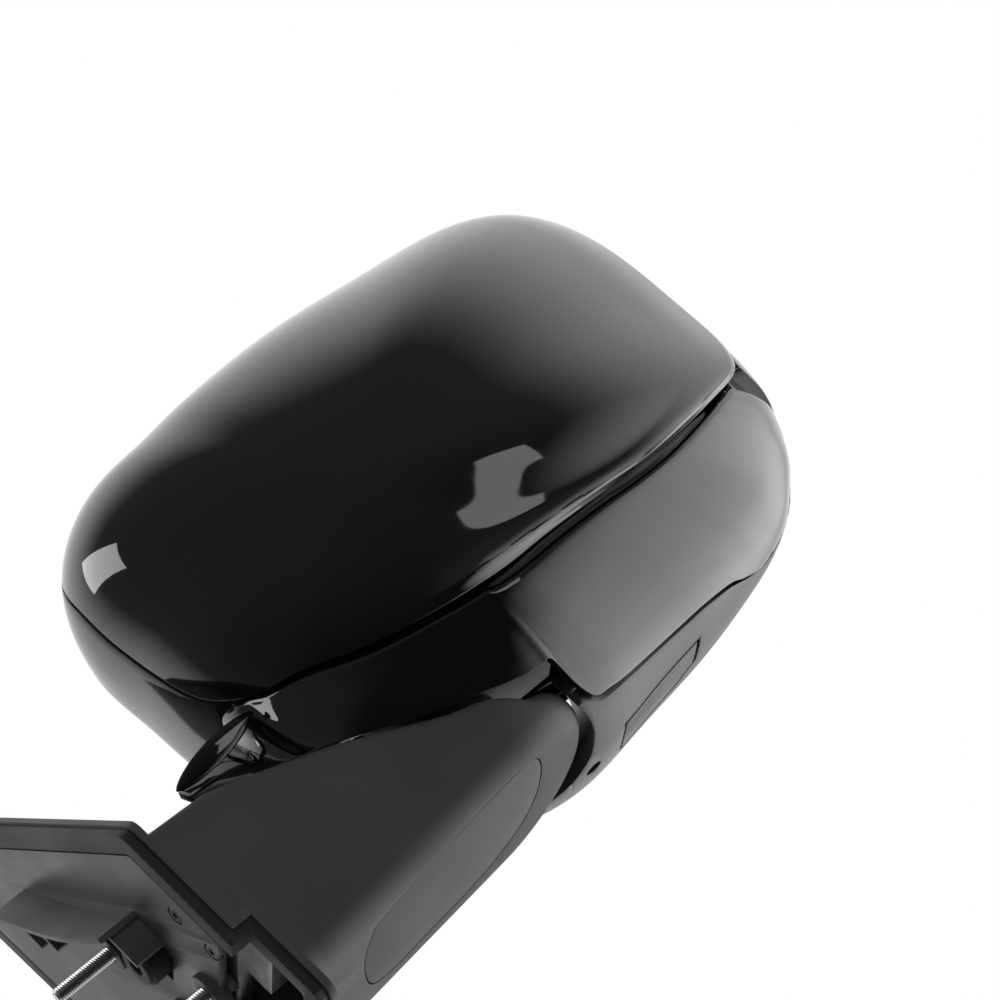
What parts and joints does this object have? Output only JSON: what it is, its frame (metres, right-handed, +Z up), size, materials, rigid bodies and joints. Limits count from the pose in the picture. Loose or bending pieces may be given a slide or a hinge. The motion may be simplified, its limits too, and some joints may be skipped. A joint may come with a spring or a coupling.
{
  "type": "car side mirror",
  "caption": "Left-hand car door mirror: glossy cap and skirt on a textured arm, folding head with power fold unit, and a motor-tilted heated glass.",
  "frame": {"origin": "on the face that meets the car door, in line with the arm's root", "axes": "+X outboard from the door, +Y to the rear of the car, +Z up"},
  "size_m": [0.377, 0.2196, 0.242],
  "materials": {
    "gloss_black": "high gloss black paint over moulded plastic, clear coated",
    "satin_black": "satin moulded black, fine grain",
    "textured_black": "matte moulded black with a fine leather-like grain",
    "moulded_black": "plain moulded black, slightly shiny",
    "seal_rubber": "soft black rubber",
    "moulded_nylon": "glass-filled grey-black nylon",
    "acetal": "natural acetal, slightly waxy",
    "die_cast": "as-cast, fine pitting",
    "zinc_steel": "bright zinc plate",
    "spring_steel": "oiled spring steel",
    "heater_film": "thin printed film",
    "mirror_coating": "second-surface mirror with a bevelled edge"
  },
  "bodies": {
    "base": {"arm_shell": "textured_black", "arm_cover": "textured_black", "base_gasket": "seal_rubber", "base_plate": "moulded_black", "mounting_stud_1": "zinc_steel", "mounting_stud_2": "zinc_steel", "mounting_stud_3": "zinc_steel", "foot_screw_1": "zinc_steel", "foot_screw_2": "zinc_steel", "foot_screw_3": "zinc_steel", "harness_grommet": "seal_rubber", "sail_panel": "satin_black", "pivot_foot": "die_cast", "detent_plate": "spring_steel", "fold_spring": "spring_steel", "spring_washer": "spring_steel", "fold_gear": "spring_steel", "post_clip": "spring_steel"},
    "head": {"cap": "gloss_black", "skirt": "gloss_black", "pivot_trim": "gloss_black", "housing": "satin_black", "underside_hatch": "satin_black", "housing_screw": "zinc_steel", "fold_housing": "moulded_nylon", "fold_lid": "moulded_nylon", "fold_motor": "zinc_steel", "head_frame": "die_cast", "actuator_case": "moulded_nylon", "actuator_lid": "moulded_nylon", "adjust_motor_v": "zinc_steel", "adjust_motor_h": "zinc_steel"},
    "worm": {"fold_worm": "spring_steel"},
    "tilt": {"tilt_ring": "moulded_nylon"},
    "glass": {"glass_carrier": "moulded_nylon", "heater_pad": "heater_film", "mirror_glass": "mirror_coating"},
    "jack_v": {"jack_screw_v": "acetal"},
    "jack_h": {"jack_screw_h": "acetal"},
    "gear_v": {"adjust_gear_v": "acetal"},
    "gear_h": {"adjust_gear_h": "acetal"}
  },
  "joints": [
    {"name": "head_fold", "type": "hinge", "parent": "base", "child": "head", "pos_m": [0.122, 0.005, 0], "axis": [0, 0, 1], "range_deg": [-10, 52]},
    {"name": "worm_spin", "type": "hinge", "parent": "head", "child": "worm", "pos_m": [0.1407, 0, 0.0458], "axis": [0, 1, 0], "range_deg": [-400, 2000]},
    {"name": "glass_tilt_v", "type": "hinge", "parent": "head", "child": "tilt", "pos_m": [0.206, 0.034, 0.088], "axis": [1, 0, 0], "range_deg": [-5, 5]},
    {"name": "glass_tilt_h", "type": "hinge", "parent": "tilt", "child": "glass", "pos_m": [0.206, 0.034, 0.088], "axis": [0, 0, 1], "range_deg": [-5, 5]},
    {"name": "jack_v_slide", "type": "slide", "parent": "head", "child": "jack_v", "axis": [0, 1, 0], "range_m": [-0.0035, 0.0035]},
    {"name": "jack_h_slide", "type": "slide", "parent": "head", "child": "jack_h", "axis": [0, 1, 0], "range_m": [-0.0035, 0.0035]},
    {"name": "gear_v_spin", "type": "hinge", "parent": "head", "child": "gear_v", "pos_m": [0.206, 0, 0.115], "axis": [0, 1, 0], "range_deg": [-640, 640]},
    {"name": "gear_h_spin", "type": "hinge", "parent": "head", "child": "gear_h", "pos_m": [0.233, 0, 0.088], "axis": [0, 1, 0], "range_deg": [-640, 640]}
  ],
  "couplings": [
    {"joint": "worm_spin", "follows": "head_fold", "ratio": 36},
    {"joint": "jack_v_slide", "follows": "glass_tilt_v", "m_per_rad": -0.027},
    {"joint": "gear_v_spin", "follows": "glass_tilt_v", "ratio": 84.8},
    {"joint": "jack_h_slide", "follows": "glass_tilt_h", "m_per_rad": 0.027},
    {"joint": "gear_h_spin", "follows": "glass_tilt_h", "ratio": -84.8}
  ]
}
